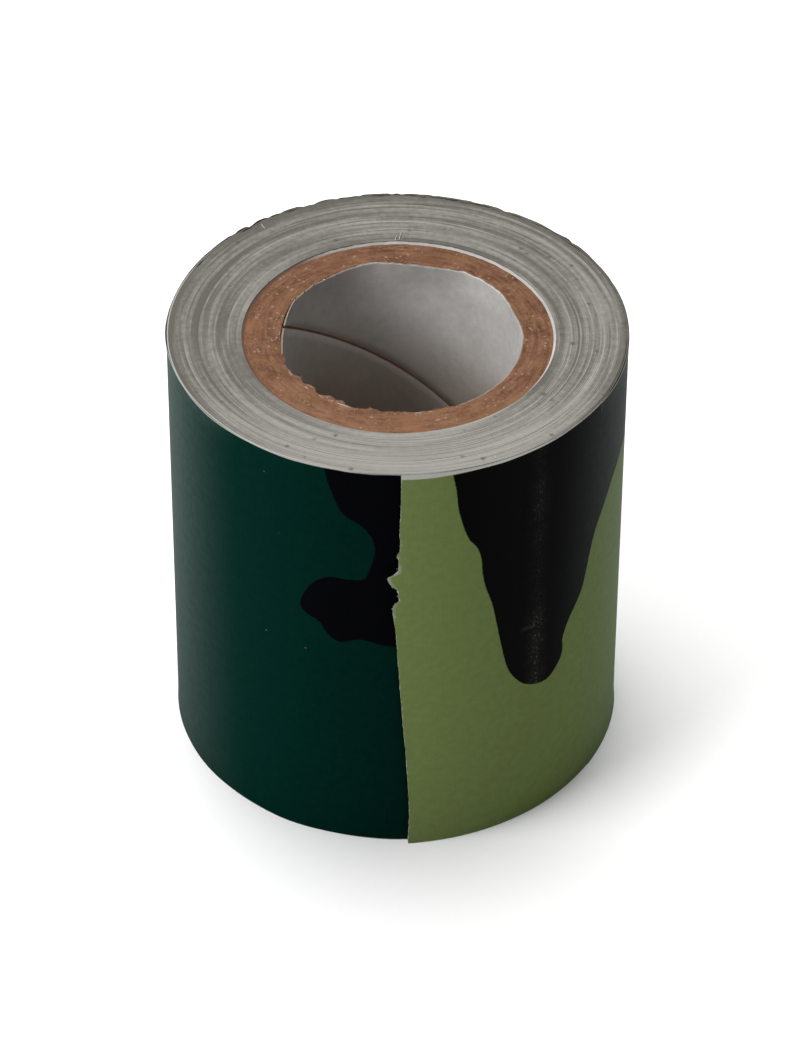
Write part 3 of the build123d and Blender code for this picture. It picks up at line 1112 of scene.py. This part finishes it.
def make_plies():
    count = sum(1 for node in frame["nodes"] if node.startswith("core_ply_"))
    inner = BORE_RADIUS + LINER_THICKNESS
    for number in range(1, count + 1):
        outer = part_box(f"core_ply_{number}")[1].x
        bm = ring(inner, outer, 4)
        for face in bm.faces:
            if number == 1 and face.calc_center_median().to_2d().length < inner + MERGE_DISTANCE:
                face.material_index = 1
        fray_ply(bm, inner, number == 1)
        piece = finish_piece(bm, f"kraft_ply_{number}", [KRAFT, SEAM_BOARD], "roll", turn=False)
        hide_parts(f"core_ply_{number}")
        inner = outer
    bm = ring(inner, CORE_OUTER_RADIUS, 2)
    fray_ply(bm, inner, False)
    for vert in bm.verts:
        share = (vert.co.to_2d().length - inner) / (CORE_OUTER_RADIUS - inner)
        if CORE_TOP - vert.co.z < CUT_DEPTH:
            vert.co.z += COVER_RISE * share
    cover = finish_piece(bm, "white_cover_ply", [COVER_PAPER], "roll", turn=False)
    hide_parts("core_cover_ply")


make_plies()

# %% [markdown]
# ## The liner and its spiral seam
# The liner is one long strip of paper wound as a helix, and its edges meet in a fine seam that climbs round
# the bore. The spin operator can do that too: with `dvec` every step also moves up. The strip is spun for
# nearly two turns, longer than the core, and two cutting planes trim it to the core's ends, just as the real
# tube is sawn off. What is left between the edges of the strip is the seam, where the brown board shows.

# %% The liner and its spiral seam
SEAM_RISE = 60.0 * MM
SEAM_GAP = 0.34 * MM
SEAM_AT_BACK = 36.0 * MM
LINER_STEPS = 200
LINER_ROWS = 50
LOOP_DEPTHS = [0.25 * MM, 0.6 * MM, 1.2 * MM, 1.9 * MM, RIM_DEPTH]


def cut(bm, height, **waste):
    """Cut the faces at a height. The waste above it is `clear_outer`, and below it `clear_inner`."""
    everything = bm.verts[:] + bm.edges[:] + bm.faces[:]
    bmesh.ops.bisect_plane(bm, geom=everything, plane_co=(0, 0, height), plane_no=(0, 0, 1), **waste)


def wind_liner():
    """The liner's strip as a helix, sawn off at the core's ends, with extra loops near the cuts."""
    bm = bmesh.new()
    last_angle = math.pi / 2 + (CORE_TOP - SEAM_AT_BACK) / SEAM_RISE * math.tau
    turns = 1 + CORE_TOP / SEAM_RISE
    width = SEAM_RISE - SEAM_GAP
    foot = Vector((BORE_RADIUS * math.cos(last_angle), BORE_RADIUS * math.sin(last_angle), CORE_TOP))
    points = [bm.verts.new(foot + Vector((0, 0, width * row / LINER_ROWS))) for row in range(LINER_ROWS + 1)]
    steps = round(turns * LINER_STEPS)
    climb = (0, 0, -SEAM_RISE * turns / steps)
    sweep(bm, points, (0, 0, 0), -turns * math.tau, steps, dvec=climb)
    cut(bm, CORE_TOP, clear_outer=True)
    cut(bm, 0.0, clear_inner=True)
    for depth in LOOP_DEPTHS:
        cut(bm, depth)
        cut(bm, CORE_TOP - depth)
    bmesh.ops.remove_doubles(bm, verts=bm.verts, dist=1e-6)
    bm.normal_update()
    facing_out = [f for f in bm.faces if f.normal.dot(Vector((*f.calc_center_median().xy, 0))) > 0]
    bmesh.ops.reverse_faces(bm, faces=facing_out)
    for face in bm.faces:
        face.smooth = True
    return bm


def shape_liner_rim(bm):
    """Move the liner with the uneven rim of the bore, lift it at one place, and roughen its cut edges."""
    for vert, is_top, on_cut, angle, outward, fade in rim_points(bm):
        vert.co += outward * rim_wobble(angle, is_top) * fade
        if is_top:
            vert.co -= outward * lift(angle, fade)
        if on_cut:
            ragged = SAWN_PAPER * (0.5 + noise.noise(vert.co * 1500))
            vert.co.z += -ragged if is_top else ragged


def make_liner():
    bm = wind_liner()
    shape_liner_rim(bm)
    piece = finish_piece(bm, "bore_liner", [LINER_PAPER, LINER_EDGE], "roll", turn=False)
    wall = piece.modifiers.new("paper thickness", "SOLIDIFY")
    wall.thickness = LINER_THICKNESS - 0.02 * MM
    wall.offset = -1
    wall.material_offset_rim = 1
    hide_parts("core_inner_liner")


make_liner()

# %% [markdown]
# ## Threads and fibres
# Three kinds of loose ends make the roll look handled: gauze threads that the slitting blade dragged over
# the end of the winding, frayed threads along the torn edge, and paper fibres round the sawn rim of the
# bore. Each is a thin square tube, which is grown by extruding its last face a few times in a direction that
# keeps bending.

# %% Threads and fibres
FIBRE_STEPS = 4
DRAGGED_THREADS = [  # degrees round the roll, distance from the axis and length in mm
    (90, 16.4, 1.5), (91.5, 16.3, 0.8), (128, 23.2, 0.9), (38, 20.5, 0.5), (-64, 22.1, 0.4),
]
THREAD_RADIUS = 0.035 * MM
TORN_THREADS = 26
RIM_FIBRES = 70


def add_fibre(bm, start, direction, length, radius, bend):
    facing = direction.to_track_quat("Z", "Y").to_matrix().to_4x4()
    base = bmesh.ops.create_circle(
        bm, cap_ends=True, segments=4, radius=radius, matrix=Matrix.Translation(start) @ facing
    )
    face = base["verts"][0].link_faces[0]
    for _ in range(FIBRE_STEPS):
        grown = bmesh.ops.extrude_face_region(bm, geom=[face])
        face = next(part for part in grown["geom"] if isinstance(part, bmesh.types.BMFace))
        direction = (direction + bend).normalized()
        bmesh.ops.translate(bm, verts=face.verts, vec=direction * length / FIBRE_STEPS)


def finish_fibres(bm, name, material, body, turn=False):
    bmesh.ops.recalc_face_normals(bm, faces=bm.faces)
    return finish_piece(bm, name, [material], body, turn)


def thread_finish(name, dark, light):
    finish = Finish(name)
    tone = finish.noise(finish.place(), 2200.0, 3.0, 0.6)
    return finish.done(finish.mix(tone, dark, light), 0.9, 0.2)


COTTON = thread_finish("cotton_thread", (0.34, 0.34, 0.33), (0.55, 0.55, 0.54))
PALE_FIBRE = thread_finish("pale_paper_fibre", (0.24, 0.19, 0.15), (0.52, 0.49, 0.45))


def drag_threads():
    bm = bmesh.new()
    for degrees, reach, length in DRAGGED_THREADS:
        angle = math.radians(degrees)
        outward = heading(angle)
        across = outward.cross(Vector((0, 0, 1)))
        start = outward * reach * MM + Vector((0, 0, TAPE_WIDTH))
        add_fibre(bm, start, outward, length * MM, THREAD_RADIUS, across * 0.08)
    finish_fibres(bm, "dragged_threads", COTTON, "roll")


def fray_torn_edge():
    chance = random.Random(7)
    bm = bmesh.new()
    for _ in range(TORN_THREADS):
        in_tab = chance.random() < 0.45
        height = chance.uniform(33, 40.5) if in_tab else chance.uniform(1, 49)
        length = torn_length(height * MM, 2.0)
        angle = root_angle - (length - WOUND_LENGTH) / tail_radius
        start = round_point(tail_centre, tail_radius + LAYERS["scrim"][0] + 0.5 * SCRIM, angle)
        start.z = height * MM
        onward = Vector((math.sin(angle), -math.cos(angle), chance.uniform(-0.5, 0.3))).normalized()
        bend = Vector((0, 0, chance.uniform(-0.25, 0.1)))
        reach = chance.uniform(0.08, 0.28 if in_tab else 0.12) * MM
        add_fibre(bm, start - onward * 0.1 * MM, onward, reach + 0.1 * MM, 0.016 * MM, bend)
    finish_fibres(bm, "torn_threads", COTTON, "tail_3", turn=True)


def fuzz_rim():
    chance = random.Random(11)
    bm = bmesh.new()
    for _ in range(RIM_FIBRES):
        spread = chance.gauss(-105, 38) if chance.random() < 0.75 else chance.uniform(-180, 180)
        angle = math.radians((spread + 180) % 360 - 180)
        outward = heading(angle)
        along = Vector((-outward.y, outward.x, 0))
        edge = BORE_RADIUS + 0.3 * MM + rim_wobble(angle, True) - burr(angle, True)
        start = outward * (edge + chance.uniform(0.0, 0.5) * MM) + Vector((0, 0, CORE_TOP - 0.05 * MM))
        lean = Vector((0, 0, chance.uniform(0.1, 0.7)))
        direction = (-outward * chance.uniform(0.0, 1.0) + along * chance.uniform(-1, 1) + lean).normalized()
        bend = Vector((0, 0, -0.25)) + along * chance.uniform(-0.3, 0.3)
        add_fibre(bm, start, direction, chance.uniform(0.2, 0.75) * MM, 0.014 * MM, bend)
    finish_fibres(bm, "rim_fibres", PALE_FIBRE, "roll")


drag_threads()
fray_torn_edge()
fuzz_rim()
